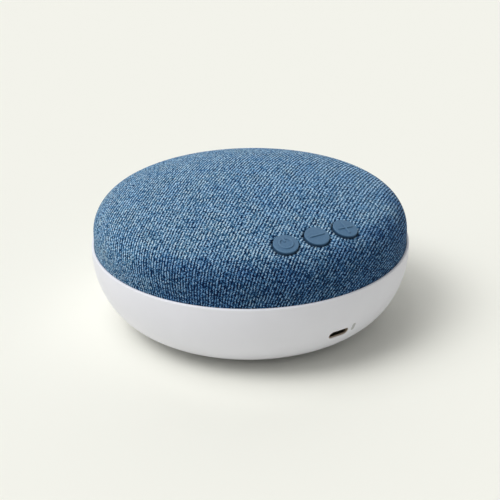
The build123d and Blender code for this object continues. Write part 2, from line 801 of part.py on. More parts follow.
with BuildPart() as usb_receptacle:
    with BuildSketch(wall_plane(port_angle, usb_back_radius, port_height)):
        SlotOverall(usb_width, usb_height)
    extrude(amount=usb_length)
    with BuildSketch(wall_plane(port_angle, usb_back_radius + usb_back, port_height)):
        SlotOverall(usb_width - 2 * usb_shell, usb_height - 2 * usb_shell)
    extrude(amount=usb_length - usb_back, mode=Mode.SUBTRACT)
usb_receptacle.part.label = "usb_receptacle"
export_step(usb_receptacle.part, "parts/usb_receptacle.step")

with BuildPart() as usb_tongue:
    block(wall_plane(port_angle, usb_back_radius + usb_back, port_height), (0, 0), tongue_width,
          tongue_thickness, usb_length - usb_back - tongue_setback)
usb_tongue.part.label = "usb_tongue"
export_step(usb_tongue.part, "parts/usb_tongue.step")

with BuildPart() as charge_led:
    block(wall_plane(light_angle, led_radius, board_top + led_height / 2), (0, 0),
          led_width, led_height, led_depth)
charge_led.part.label = "charge_led"
export_step(charge_led.part, "parts/charge_led.step")

with BuildPart() as charge_light_pipe:
    with BuildSketch(wall_plane(light_angle, light_inner_radius, light_z)):
        SlotOverall(light_height, light_width, rotation=90)
    extrude(amount=rim_radius - light_inner_radius)
    bowl(0, mode=Mode.INTERSECT)
charge_light_pipe.part.label = "charge_light_pipe"
export_step(charge_light_pipe.part, "parts/charge_light_pipe.step")

with BuildPart() as sound_chip:
    block(board_surface, (connector_x, front_y), sound_chip_size, sound_chip_size, chip_height)
sound_chip.part.label = "sound_chip"
export_step(sound_chip.part, "parts/sound_chip.step")

with BuildPart() as amplifier_chip:
    block(board_surface, (-connector_x, front_y), amplifier_length, amplifier_width, chip_height)
amplifier_chip.part.label = "amplifier_chip"
export_step(amplifier_chip.part, "parts/amplifier_chip.step")

with BuildPart() as capacitors:
    discs(board_surface, capacitor_points, capacitor_radius, capacitor_height)
capacitors.part.label = "capacitors"
export_step(capacitors.part, "parts/capacitors.step")

lead_connector_points = {"speaker": (connector_x, connector_y), "battery": (-connector_x, connector_y)}
for lead_name, lead_point in lead_connector_points.items():
    with BuildPart() as lead_connector:
        block(board_surface, lead_point, connector_length, connector_width, connector_height)
    lead_connector.part.label = lead_name + "_connector"
    export_step(lead_connector.part, "parts/" + lead_name + "_connector.step")

with BuildPart() as ribbon_connector:
    block(board_surface, ribbon_point, ribbon_width + 2, connector_width, connector_height)
ribbon_connector.part.label = "ribbon_connector"
export_step(ribbon_connector.part, "parts/ribbon_connector.step")

# ------------------------------------------------------------------ battery, leads and ribbon

with BuildPart() as battery_cell:
    discs(Plane.YZ.offset(-cell_length / 2), [(cell_y, cell_height)], cell_radius, cell_length)
    fillet(battery_cell.edges().filter_by(GeomType.CIRCLE), cell_round)
battery_cell.part.label = "battery_cell"
export_step(battery_cell.part, "parts/battery_cell.step")


def board_place(x, y, height):
    """Point in the product frame, from a place and a height over the main board's top."""
    return board_surface.from_local_coords((x, y, height))


lead_height = connector_height + lead_rise
column_inner_x = foot_radius * cosine(case_screw_angle) - case_column_radius
lead_run_x = column_inner_x - lead_gap - wire_radius - wire_spacing / 2
lead_start_y = cell_y - math.sqrt(cell_radius**2 - (lead_dip - wire_radius) ** 2)
with BuildPart() as battery_leads:
    for side in (-1, 1):
        shift = side * wire_spacing / 2
        wire([
            (shift - lead_run_x, lead_start_y, cell_height - lead_dip),
            (shift - lead_run_x, case_screw_y - case_column_radius, cell_height - lead_dip),
            board_place(shift - connector_x - lead_sweep, connector_y + lead_sweep, lead_height),
            board_place(shift - connector_x, connector_y, lead_height),
            board_place(shift - connector_x, connector_y, connector_height),
        ])
battery_leads.part.label = "battery_leads"
export_step(battery_leads.part, "parts/battery_leads.step")

with BuildPart() as speaker_leads:
    for side in (-1, 1):
        shift = side * wire_spacing / 2
        terminal_point = (terminal_radius + terminal_width / 2, 2 * shift)
        wire([
            terminal_plane.from_local_coords((*terminal_point, -terminal_thickness)),
            terminal_plane.from_local_coords((*terminal_point, -terminal_thickness - lead_rise)),
            board_place(shift + connector_x, connector_y, lead_height),
            board_place(shift + connector_x, connector_y, connector_height),
        ])
speaker_leads.part.label = "speaker_leads"
export_step(speaker_leads.part, "parts/speaker_leads.step")

ribbon_start_depth = key_board_depth + key_board_thickness + connector_height / 2
ribbon_start_y = -key_circle + ribbon_start_depth * sine(key_tilt)
ribbon_start_z = key_z - ribbon_start_depth * cosine(key_tilt)
ribbon_drop = (cable_slot_y - ribbon_start_y) / math.tan(math.radians(key_tilt))
with BuildPart() as button_ribbon:
    with BuildSketch(Plane.YZ):
        with BuildLine():
            FilletPolyline(
                (ribbon_start_y, ribbon_start_z),
                (cable_slot_y, ribbon_start_z - ribbon_drop),
                (cable_slot_y, connector_top),
                radius=ribbon_bend,
            )
        trace(line_width=ribbon_thickness)
    extrude(amount=ribbon_width / 2, both=True)
button_ribbon.part.label = "button_ribbon"
export_step(button_ribbon.part, "parts/button_ribbon.step")
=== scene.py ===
"""Looks of a round white noise sound machine: denim cover, rubber keys and a white moulded bowl."""

import math

import bmesh
import bpy
import numpy as np
from mathutils import Matrix, Vector


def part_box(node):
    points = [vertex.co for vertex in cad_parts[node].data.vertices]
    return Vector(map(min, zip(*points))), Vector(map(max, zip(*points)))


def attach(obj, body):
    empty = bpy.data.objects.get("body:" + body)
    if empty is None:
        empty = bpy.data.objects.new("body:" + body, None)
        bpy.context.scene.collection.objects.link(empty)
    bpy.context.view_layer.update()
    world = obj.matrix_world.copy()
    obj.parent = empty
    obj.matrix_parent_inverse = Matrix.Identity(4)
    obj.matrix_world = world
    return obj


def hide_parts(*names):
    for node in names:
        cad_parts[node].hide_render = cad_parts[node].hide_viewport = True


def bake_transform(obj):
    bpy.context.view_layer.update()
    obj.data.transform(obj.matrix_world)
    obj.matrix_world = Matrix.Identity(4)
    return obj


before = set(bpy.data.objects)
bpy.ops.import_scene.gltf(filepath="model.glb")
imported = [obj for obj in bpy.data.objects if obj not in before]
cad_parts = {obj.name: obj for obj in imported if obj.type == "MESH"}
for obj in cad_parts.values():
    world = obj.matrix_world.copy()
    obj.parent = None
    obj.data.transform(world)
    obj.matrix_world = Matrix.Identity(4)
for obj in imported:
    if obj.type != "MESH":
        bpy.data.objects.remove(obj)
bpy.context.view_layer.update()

MM = 0.001

# ------------------------------------------------------------------ places taken from the CAD parts' boxes

cover_low, cover_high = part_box("fabric_cover")
COVER_RADIUS = cover_high[0]
HEM_Z = cover_low[2]

# ------------------------------------------------------------------ sizes, in metres and radians

# Cover: wall, shoulder arc and crown arc, as the solids have them. The cloth is tucked down round
# each key, and painted shade darkens it over a range of that dip, which is 1 at the hole
SHOULDER_RISE = 7.2 * MM
SHOULDER_RADIUS = 13.0 * MM
CROWN_ANGLE = math.radians(21.2)
CLOTH_THICKNESS = 0.8 * MM
HEM_WIDTH = 5.2 * MM
HEM_ROUND = 1.1 * MM
CLOTH_STEP = 0.75 * MM
CLOTH_TURNS = 528
TUCK_REACH = 0.8 * MM
TUCK_DEPTH = 0.4 * MM
DIP_RANGE = (0.35, 1.0)
DIP_PAINTED_SHADE = 0.55

SHOULDER_Z = HEM_Z + SHOULDER_RISE
SHOULDER_X = COVER_RADIUS - SHOULDER_RADIUS
CROWN_EDGE = COVER_RADIUS - SHOULDER_RADIUS * (1 - math.sin(CROWN_ANGLE))
CROWN_RADIUS = CROWN_EDGE / math.sin(CROWN_ANGLE)
CROWN_Z = SHOULDER_Z + (SHOULDER_RADIUS - CROWN_RADIUS) * math.cos(CROWN_ANGLE)

# Keys: all three move along the crown's normal at the middle key
KEY_CIRCLE = COVER_RADIUS - 14.45 * MM
KEY_PITCH = 13.83 * MM
KEY_ROW_BOW = 0.65 * MM
KEY_RADIUS = 5.05 * MM
KEY_RISE = 0.9 * MM
KEY_EDGE = 0.3 * MM
KEY_HOLE = 5.25 * MM
KEY_FLANGE_RADIUS = 6.35 * MM
KEY_FLANGE_DEPTH = 5.65 * MM
KEY_FLANGE_THICKNESS = 1.0 * MM
KEY_PIN_RADIUS = 2.4 * MM
KEY_PIN_LENGTH = 0.8 * MM
KEY_TILT = math.asin(KEY_CIRCLE / CROWN_RADIUS)
KEY_ORIGIN = Vector((0, -KEY_CIRCLE, CROWN_Z + CROWN_RADIUS * math.cos(KEY_TILT)))
KEY_X = Vector((1, 0, 0))
KEY_Y = Vector((0, math.cos(KEY_TILT), math.sin(KEY_TILT)))
KEY_NORMAL = Vector((0, -math.sin(KEY_TILT), math.cos(KEY_TILT)))
KEY_PLACES = {
    "power": (-KEY_PITCH, KEY_ROW_BOW),
    "minus": (0, 0),
    "plus": (KEY_PITCH, KEY_ROW_BOW),
}

# Key mesh: painted highlight on the edge's first steps, painted shade from below the face's end
KEY_TURNS = 160
KEY_FACE_RINGS = 45
KEY_EDGE_STEPS = 8
KEY_HIGHLIGHT_STEPS = 5
KEY_FACE_END = 1.6 * KEY_EDGE
KEY_SIDE_START = 1.9 * KEY_EDGE

# Key rubber: a painted highlight on the rim, painted shade on the sides
KEY_BLUE = (0.051, 0.133, 0.242)
KEY_ROUGHNESS = 0.6
KEY_GRAIN = 0.5 * MM
KEY_GRAIN_DEPTH = 0.03 * MM
KEY_MOTTLE = 0.12
KEY_RIM_HIGHLIGHT = 1.18
KEY_SIDE_PAINTED_SHADE = 0.45

# Icons, raised on the keys: a painted highlight on the ridge, and painted shade in a halo at its
# foot
ICON_HEIGHT = 0.40 * MM
ICON_STROKE = 0.36 * MM
ICON_BLEND = 0.18 * MM
ICON_BAR = 3.1 * MM
ICON_RING = 2.65 * MM
ICON_GAP = math.radians(28)
ICON_STEM = (0.4 * ICON_RING, 1.2 * ICON_RING)
ICON_HALO = 0.22 * MM
ICON_RIDGE_HIGHLIGHT = 1.16
ICON_HALO_PAINTED_SHADE = 0.70

# Weave: a 3/1 twill, pale weft under blue warp. Centres are in weft yarns along a warp yarn
WARP_PITCH = 0.489 * MM
WEFT_PITCH = 0.428 * MM
TWILL_REPEAT = 4
RIB_CENTRE = 1.5
RIB_EDGE = 0.7
RIB_DEPTH = 0.14 * MM
RIB_HEIGHT = 0.65
YARN_HEIGHT = 0.35
WEFT_CENTRE = 0.5
WEFT_EDGE = (0.6, 0.8)
SWAY = 1.3
SWAY_SCALE = 380.0
WARP_SEED = 0.1
WEFT_SEED = 0.2

# How far the rib, and chance at each crossing, move the tone. Then the blots of chance along the
# yarns: share, blots per yarn across and along, seed and detail, for beads, clumps, slubs and bars
RIB_SHARE = 0.86
CELL_CHANCE = 1.20
BLOTS = (
    (1.0, 0.9, 0.9, 3.0, 0.0),
    (0.40, 0.28, 0.28, 5.0, 2.0),
    (0.8, 0.8, 0.25, 7.0, 2.0),
    (0.8, 0.25, 0.8, 9.0, 2.0),
)

# Dyes, from the darkest tone to the palest, and the painted shade of the hollows between yarns
DYES = (
    (0.05, (0.000, 0.012, 0.052)),
    (0.46, (0.033, 0.134, 0.272)),
    (0.84, (0.204, 0.406, 0.606)),
    (1.25, (0.62, 0.79, 0.93)),
)
HOLLOW_RANGE = (0.0, 0.6)
HOLLOW_PAINTED_SHADE = 0.7

# What the wash makes of the dyes: patches and one bluer spot. Painted light: paler towards the back
DEEP_WASH = (0.79, 0.93, 1.06)
PALE_WASH = (1.06, 1.04, 0.99)
WASH_SCALE = 85.0
BLUE_SPOT = (24.0 * MM, -20.0 * MM, 0.0)
BLUE_SPOT_REACH = (10.0 * MM, 48.0 * MM)
BLUE_SPOT_SHARE = 0.12
PAINTED_LIGHT_LEAN = 0.13
PAINTED_LIGHT_REACH = 60.0 * MM
PAINTED_LIGHT_AZIMUTH = math.radians(150)

# Painted shade on the cloth over the shoulder, darker and bluer, apart from the side facing the
# windows
SHOULDER_SHADE_TINT = (0.50, 0.60, 0.73)
SHOULDER_SHADE_TONE = 0.16
SHOULDER_SHADE_REACH = (60.5 * MM, 69.0 * MM)
SHOULDER_SHADE_LEAN = 4.0 * MM
SHOULDER_SHADE_AZIMUTH = math.radians(30)
LIT_SIDE_RANGE = (0.6, 0.95)
SHOULDER_SHADE_DRIFT = 14.0 * MM
LIT_SIDE_AZIMUTH = math.radians(-110)

# The cloth's own shine
CLOTH_ROUGHNESS = 0.95
CLOTH_GLOSS = 0.1
SHEEN = 0.04
SHEEN_ROUGHNESS = 0.4
SHEEN_TINT = (0.6, 0.8, 1.0)

# Moulded parts and paper. Most of a noise's values lie in its middle
NOISE_MIDDLE = (0.3, 0.7)
PAINT_DRIFT_SCALE = 60.0
PAINT_GLOSS_DRIFT = 0.04
# Powers on each channel of the keys' shade attribute, which make the painted shade bluer
SHADE_POWERS = (1.4, 1.0, 0.8)
PAPER_SCALE = 1.5
PAPER_DRIFT = 0.003

# Charging slot: a thin metal lining runs from the receptacle out to the bowl's face
SLOT_ANGLE = math.radians(3.0)
SLOT_HEIGHT = 16.6 * MM
SLOT_WIDTH = 9.34 * MM
SLOT_TALL = 3.56 * MM
LINING_GAP = 0.02 * MM
LINING_WALL = 0.18 * MM
LINING_BACK = 61.9 * MM
LINING_SETBACK = 0.32 * MM
LINING_TURNS = 48
BOWL_SIDE_RADIUS = 37.5 * MM
BOWL_RIM_LEAN = math.radians(3.0)

# Speaker's spider and surround: held by the basket outside and by the cone inside
FLEX_SECTORS = 12
FLEX_STEPS = 8
COIL_RADIUS = 8.1 * MM
SPIDER_SEAT = 16.0 * MM
SPIDER_WAVES = 4
WAVE_STEPS = 10
SPIDER_WAVE = 0.5 * MM
SPIDER_THICKNESS = 0.5 * MM
SURROUND_WALL = 0.5 * MM
SURROUND_ROLL = 1.5 * MM
ROLL_POINTS = 17
SURROUND_LIP = 1.4 * MM
CONE_RADIUS = 25.4 * MM

# Camera, fitted to the photograph's outlines
CAMERA_TARGET = Vector((0, 0, 28.5 * MM))
CAMERA_DISTANCE = 0.623
CAMERA_AZIMUTH = math.radians(-30.3)
CAMERA_ELEVATION = math.radians(25.35)
CAMERA_ROLL = math.radians(-0.77)
CAMERA_LENS = 105.3
CAMERA_SHIFT = (-0.0009, 0.0008)
SENSOR_WIDTH = 36.0

# Light: big soft windows at the left, a weak one behind, and a plain world. Angles are in degrees
FLOOR_COLOUR = (0.896, 0.896, 0.83)
FLOOR_SIZE = 12.0
WORLD_COLOUR = (1.0, 1.0, 1.0)
WORLD_STRENGTH = 0.30
WINDOWS = {
    "wide_window": {"strength": 1.24, "angle": 50, "azimuth": -105, "elevation": 64},
    "near_window": {"strength": 0.77, "angle": 28, "azimuth": -95, "elevation": 56},
    "low_window": {"strength": 0.31, "angle": 50, "azimuth": -105, "elevation": 38},
    "back_window": {"strength": 0.41, "angle": 50, "azimuth": 150, "elevation": 38},
}


def direction(azimuth, elevation):
    """Unit vector, its azimuth turned from -Y towards +X."""
    level = math.cos(elevation)
    return Vector((math.sin(azimuth) * level, -math.cos(azimuth) * level, math.sin(elevation)))


# ------------------------------------------------------------------ node materials

class Tree:
    """A node material being built: each method adds a node and returns its output."""

    def __init__(self, name):
        self.material = bpy.data.materials.new(name)
        self.material.use_nodes = True
        self.nodes = self.material.node_tree.nodes
        self.links = self.material.node_tree.links
        self.shader = self.nodes["Principled BSDF"]

    def add(self, kind, inputs=(), **settings):
        node = self.nodes.new(kind)
        for key, value in settings.items():
            setattr(node, key, value)
        for key, value in dict(inputs).items():
            self.put(node.inputs[key], value)
        return node

    def put(self, socket, value):
        if isinstance(value, bpy.types.NodeSocket):
            self.links.new(value, socket)
        else:
            socket.default_value = value

    def math(self, operation, first, second=0.0, third=0.0):
        values = {0: first, 1: second, 2: third}
        return self.add("ShaderNodeMath", values, operation=operation).outputs[0]

    def mix(self, factor, first, second, blend="MIX"):
        node = self.add("ShaderNodeMix", data_type="RGBA", blend_type=blend)
        self.put(node.inputs["Factor"], factor)
        self.put(node.inputs[6], first)
        self.put(node.inputs[7], second)
        return node.outputs[2]

    def tint(self, colour, dye):
        """Colour times a dye."""
        return self.mix(1.0, colour, dye, blend="MULTIPLY")

    def shade(self, colour, factor):
        """Colour times a factor."""
        return self.tint(colour, self.vector(factor, factor, factor))

    def spread(self, value, low, high, to_low=0.0, to_high=1.0):
        inputs = {0: value, 1: low, 2: high, 3: to_low, 4: to_high}
        return self.add("ShaderNodeMapRange", inputs, clamp=True).outputs[0]

    def noise(self, scale, vector, detail=2.0, roughness=0.5):
        inputs = {"Vector": vector, "Scale": scale, "Detail": detail, "Roughness": roughness}
        return self.add("ShaderNodeTexNoise", inputs).outputs["Fac"]

    def random(self, vector):
        node = self.add("ShaderNodeTexWhiteNoise", {"Vector": vector}, noise_dimensions="3D")
        return node.outputs["Value"]

    def attribute(self, name):
        return self.add("ShaderNodeAttribute", attribute_name=name).outputs["Fac"]

    def vector_math(self, operation, first, second=(0.0, 0.0, 0.0), result="Vector"):
        node = self.add("ShaderNodeVectorMath", {0: first, 1: second}, operation=operation)
        return node.outputs[result]

    def vector(self, x, y, z=0.0):
        return self.add("ShaderNodeCombineXYZ", {0: x, 1: y, 2: z}).outputs[0]

    def place(self):
        return self.add("ShaderNodeTexCoord").outputs["Object"]

    def bump(self, height, distance):
        inputs = {"Height": height, "Distance": distance, "Strength": 1.0}
        return self.add("ShaderNodeBump", inputs).outputs[0]

    def set(self, **sockets):
        for key, value in sockets.items():
            self.put(self.shader.inputs[key.replace("_", " ")], value)
        return self.material


def rgba(colour, factor=1.0):
    """Opaque colour times a factor."""
    return (colour[0] * factor, colour[1] * factor, colour[2] * factor, 1.0)


def moulded(name, colour, roughness, grain=0.25 * MM, depth=0.01 * MM, vary=0.04, mottle=0.0,
            metallic=0.0):
    """Moulded plastic, rubber or coated part: fine grain, a slight drift of colour and of gloss.

    A mottled one also takes the mesh's own shade: painted highlights on its rims, painted shade at
    their feet and on its sides.
    """
    tree = Tree(name)
    place = tree.place()
    drift = tree.noise(PAINT_DRIFT_SCALE, place, detail=3.0)
    fine = tree.noise(1 / grain, place)
    base = tree.mix(drift, rgba(colour, 1 - vary), rgba(colour, 1 + vary))
    if mottle:
        spots = tree.spread(fine, *NOISE_MIDDLE, 1 - mottle, 1 + mottle)
        # The shade attribute holds painted highlights and painted shade; the spots are the rubber's
        # own mottle
        shade = tree.math("MULTIPLY", tree.attribute("shade"), spots)
        base = tree.tint(base, tree.vector(*[tree.math("POWER", shade, p) for p in SHADE_POWERS]))
    gloss = tree.spread(drift, *NOISE_MIDDLE, roughness - PAINT_GLOSS_DRIFT,
                        roughness + PAINT_GLOSS_DRIFT)
    return tree.set(Base_Color=base, Roughness=gloss, Normal=tree.bump(fine, depth),
                    Metallic=metallic)


def denim(name):
    """Washed twill: blue warp along Y over pale weft along X, from the cloth's own coordinates."""
    tree = Tree(name)
    cloth = tree.add("ShaderNodeUVMap", uv_map="cloth").outputs[0]
    split = tree.add("ShaderNodeSeparateXYZ", {0: cloth})

    def wander(axis, pitch, seed):
        """Run across the yarns, counted in yarns, that wanders a little."""
        place = tree.vector_math("ADD", cloth, (0, 0, seed))
        sway = tree.math("SUBTRACT", tree.noise(SWAY_SCALE, place, detail=1.0), 0.5)
        count = tree.math("DIVIDE", split.outputs[axis], pitch)
        return tree.math("MULTIPLY_ADD", sway, SWAY, count)

    across = wander(0, WARP_PITCH, WARP_SEED)
    along = wander(1, WEFT_PITCH, WEFT_SEED)
    warp = tree.math("FLOOR", across)
    weft = tree.math("FLOOR", along)

    def crest(run):
        """Round yarn: 1 on its crest, 0 at its sides."""
        side = tree.math("SUBTRACT", tree.math("FRACT", run), 0.5)
        fall = tree.math("MULTIPLY", tree.math("MULTIPLY", side, side), 4.0)
        return tree.math("SUBTRACT", 1.0, fall)

    def twill(centre):
        """Wave from -1 to 1 that steps by one weft from each warp yarn to the next."""
        phase = tree.math("SUBTRACT", tree.math("SUBTRACT", along, warp), centre)
        return tree.math("COSINE", tree.math("MULTIPLY", phase, 2 * math.pi / TWILL_REPEAT))

    def blots(wide, long, seed, detail):
        """Noise whose blots are 1/wide yarns across and 1/long yarns along."""
        place = (tree.math("MULTIPLY", across, wide), tree.math("MULTIPLY", along, long), seed)
        return tree.noise(1.0, tree.vector(*place), detail=detail)

    # Each rib rises with the warp's float, and the weft shows for one crossing at its foot
    rib = tree.spread(twill(RIB_CENTRE), -RIB_EDGE, RIB_EDGE)
    weft_up = tree.spread(twill(WEFT_CENTRE), *WEFT_EDGE)
    crests = {"Factor": weft_up, "A": crest(across), "B": crest(along)}
    yarn = tree.add("ShaderNodeMix", crests).outputs[0]
    height = tree.math("ADD", tree.math("MULTIPLY", rib, RIB_HEIGHT),
                       tree.math("MULTIPLY", yarn, YARN_HEIGHT))

    # Painted shade over the shoulder, apart from the side that faces the windows' light
    reach = tree.vector_math("LENGTH", cloth, result="Value")
    turn = tree.vector_math("NORMALIZE", cloth)

    def facing(azimuth):
        """Cosine of the turn on the cloth from an azimuth."""
        return tree.vector_math("DOT_PRODUCT", turn, direction(azimuth, 0.0), result="Value")

    patch = tree.noise(WASH_SCALE, cloth, detail=4.0, roughness=0.6)
    edge = tree.math("MULTIPLY_ADD", facing(SHOULDER_SHADE_AZIMUTH), SHOULDER_SHADE_LEAN, reach)
    edge = tree.math("MULTIPLY_ADD", tree.math("SUBTRACT", patch, 0.5), -SHOULDER_SHADE_DRIFT, edge)
    unlit_side = tree.spread(facing(LIT_SIDE_AZIMUTH), *LIT_SIDE_RANGE, 1.0, 0.0)
    shoulder_shade = tree.math("MULTIPLY", tree.spread(edge, *SHOULDER_SHADE_REACH), unlit_side)

    # The tone starts lower where the shoulder's shade is painted, gathers every chance, and the
    # dyes follow it
    tone = tree.math("MULTIPLY_ADD", shoulder_shade, -SHOULDER_SHADE_TONE, 0.5)
    chances = [(RIB_SHARE, rib), (CELL_CHANCE, tree.random(tree.vector(warp, weft)))]
    chances += [(share, blots(*blot)) for share, *blot in BLOTS]
    for share, chance in chances:
        tone = tree.math("MULTIPLY_ADD", tree.math("SUBTRACT", chance, 0.5), share, tone)
    colour = rgba(DYES[0][1])
    for (low, _), (high, dye) in zip(DYES, DYES[1:]):
        colour = tree.mix(tree.spread(tone, low, high), colour, rgba(dye))

    # Painted shade: hollows between yarns are darker, and so is the cloth that dips round the keys
    colour = tree.shade(colour, tree.spread(yarn, *HOLLOW_RANGE, HOLLOW_PAINTED_SHADE, 1.0))
    colour = tree.shade(colour, tree.spread(tree.attribute("dip"), *DIP_RANGE, 1.0, DIP_PAINTED_SHADE))

    # The wash drifts in patches and is bluer in one spot. Painted light makes the cloth paler
    # towards the back
    away = tree.vector_math("DISTANCE", cloth, BLUE_SPOT, result="Value")
    spot = tree.spread(away, *BLUE_SPOT_REACH, 1.0, 0.0)
    wash = tree.spread(tree.math("MULTIPLY_ADD", spot, -BLUE_SPOT_SHARE, patch), *NOISE_MIDDLE)
    colour = tree.mix(wash, tree.tint(colour, rgba(DEEP_WASH)), tree.tint(colour, rgba(PALE_WASH)))
    run = tree.math("DIVIDE", tree.math("MULTIPLY", facing(PAINTED_LIGHT_AZIMUTH), reach), PAINTED_LIGHT_REACH)
    colour = tree.shade(colour, tree.math("MULTIPLY_ADD", run, PAINTED_LIGHT_LEAN, 1.0))
    # Painted shade: the shoulder away from the windows takes a darker, bluer tint
    colour = tree.mix(shoulder_shade, colour, tree.tint(colour, rgba(SHOULDER_SHADE_TINT)))

    return tree.set(Base_Color=colour, Roughness=CLOTH_ROUGHNESS,
                    Normal=tree.bump(height, RIB_DEPTH), Sheen_Weight=SHEEN,
                    Sheen_Roughness=SHEEN_ROUGHNESS, Sheen_Tint=rgba(SHEEN_TINT),
                    Specular_IOR_Level=CLOTH_GLOSS)


def floor_paint(name):
    """Seamless pale paper."""
    tree = Tree(name)
    drift = tree.noise(PAPER_SCALE, tree.place())
    colour = tree.mix(drift, rgba(FLOOR_COLOUR, 1 - PAPER_DRIFT),
                      rgba(FLOOR_COLOUR, 1 + PAPER_DRIFT))
    return tree.set(Base_Color=colour, Roughness=1.0, Specular_IOR_Level=0.0)


# Colour and roughness of each material slot in the record
PAINTS = {
    "white_shell": ((0.795, 0.797, 0.855), 0.42),
    "grey_silicone": ((0.30, 0.30, 0.31), 0.6),
    "light_pipe": ((0.46, 0.46, 0.47), 0.3),
    "inner_plastic": ((0.05, 0.055, 0.06), 0.5),
    "green_board": ((0.02, 0.12, 0.05), 0.35),
    "black_component": ((0.02, 0.02, 0.02), 0.45),
    "white_component": ((0.75, 0.73, 0.68), 0.45),
    "steel": ((0.55, 0.55, 0.56), 0.3),
    "port_shell": ((0.42, 0.36, 0.30), 0.4),
    "ferrite": ((0.04, 0.04, 0.045), 0.7),
    "paper_cone": ((0.03, 0.03, 0.03), 0.85),
    "rubber_surround": ((0.015, 0.015, 0.015), 0.6),
    "cloth_spider": ((0.55, 0.38, 0.15), 0.85),
    "copper_coil": ((0.70, 0.32, 0.14), 0.35),
    "foam": ((0.06, 0.06, 0.06), 0.95),
    "cell_wrap": ((0.05, 0.25, 0.45), 0.35),
    "capacitor_sleeve": ((0.02, 0.02, 0.03), 0.35),
    "wire_red": ((0.55, 0.03, 0.02), 0.45),
    "ribbon_white": ((0.75, 0.75, 0.74), 0.4),
    "led_body": ((0.70, 0.72, 0.65), 0.3),
    "blue_fabric": ((0.10, 0.20, 0.33), 0.9),
}
METALS = {"steel", "port_shell", "copper_coil"}

slot_paint = {
    slot: moulded(slot + "_paint", colour, roughness, metallic=float(slot in METALS))
    for slot, (colour, roughness) in PAINTS.items()
}
slot_paint["blue_key"] = moulded("key_rubber", KEY_BLUE, KEY_ROUGHNESS, grain=KEY_GRAIN,
                                 depth=KEY_GRAIN_DEPTH, mottle=KEY_MOTTLE)


# ------------------------------------------------------------------ meshes

def mesh_object(name, points, faces, material):
    """Smooth piece of the scene from points and faces."""
    mesh = bpy.data.meshes.new(name)
    mesh.from_pydata([tuple(p) for p in points], [], faces)
    mesh.polygons.foreach_set("use_smooth", [True] * len(mesh.polygons))
    mesh.materials.append(material)
    mesh.update()
    piece = bpy.data.objects.new(name, mesh)
    bpy.context.scene.collection.objects.link(piece)
    return piece


def drop_points(mesh):
    """Takes points that no face uses out of a mesh."""
    work = bmesh.new()
    work.from_mesh(mesh)
    gone = [v for v in work.verts if not v.link_faces]
    bmesh.ops.delete(work, geom=gone, context="VERTS")
    work.to_mesh(mesh)
    work.free()


def ring_faces(rings, turns):
    """A fan from the single first point to the first ring, and quads between the rings."""
    faces = [(0, 1 + t, 1 + (t + 1) % turns) for t in range(turns)]
    for ring in range(rings - 1):
        low = 1 + ring * turns
        for t in range(turns):
            after = (t + 1) % turns
            faces.append((low + t, low + turns + t, low + turns + after, low + after))
    return faces


def meridian(reach):
    """Point (radius, height) of the cover's outer face at a reach of cloth from the apex."""
    crown_reach = CROWN_RADIUS * CROWN_ANGLE
    shoulder_reach = crown_reach + SHOULDER_RADIUS * (math.pi / 2 - CROWN_ANGLE)
    wall_reach = shoulder_reach + SHOULDER_RISE - HEM_ROUND
    round_reach = wall_reach + HEM_ROUND * math.pi / 2
    if reach < crown_reach:
        angle = reach / CROWN_RADIUS
        return CROWN_RADIUS * math.sin(angle), CROWN_Z + CROWN_RADIUS * math.cos(angle)
    if reach < shoulder_reach:
        angle = CROWN_ANGLE + (reach - crown_reach) / SHOULDER_RADIUS
        return (SHOULDER_X + SHOULDER_RADIUS * math.sin(angle),
                SHOULDER_Z + SHOULDER_RADIUS * math.cos(angle))
    if reach < wall_reach:
        return COVER_RADIUS, SHOULDER_Z - (reach - shoulder_reach)
    if reach < round_reach:
        angle = (reach - wall_reach) / HEM_ROUND
        return (COVER_RADIUS - HEM_ROUND * (1 - math.cos(angle)),
                HEM_Z + HEM_ROUND * (1 - math.sin(angle)))
    return COVER_RADIUS - HEM_ROUND - (reach - round_reach), HEM_Z


CLOTH_REACH = (CROWN_RADIUS * CROWN_ANGLE + SHOULDER_RADIUS * (math.pi / 2 - CROWN_ANGLE)
               + SHOULDER_RISE + HEM_ROUND * (math.pi / 2 - 2) + HEM_WIDTH)


def key_place(points):
    """Points (n, 3) in the keys' plane: x, y and the height over it."""
    offset = points - np.array(KEY_ORIGIN)
    return offset @ np.array([KEY_X, KEY_Y, KEY_NORMAL]).T


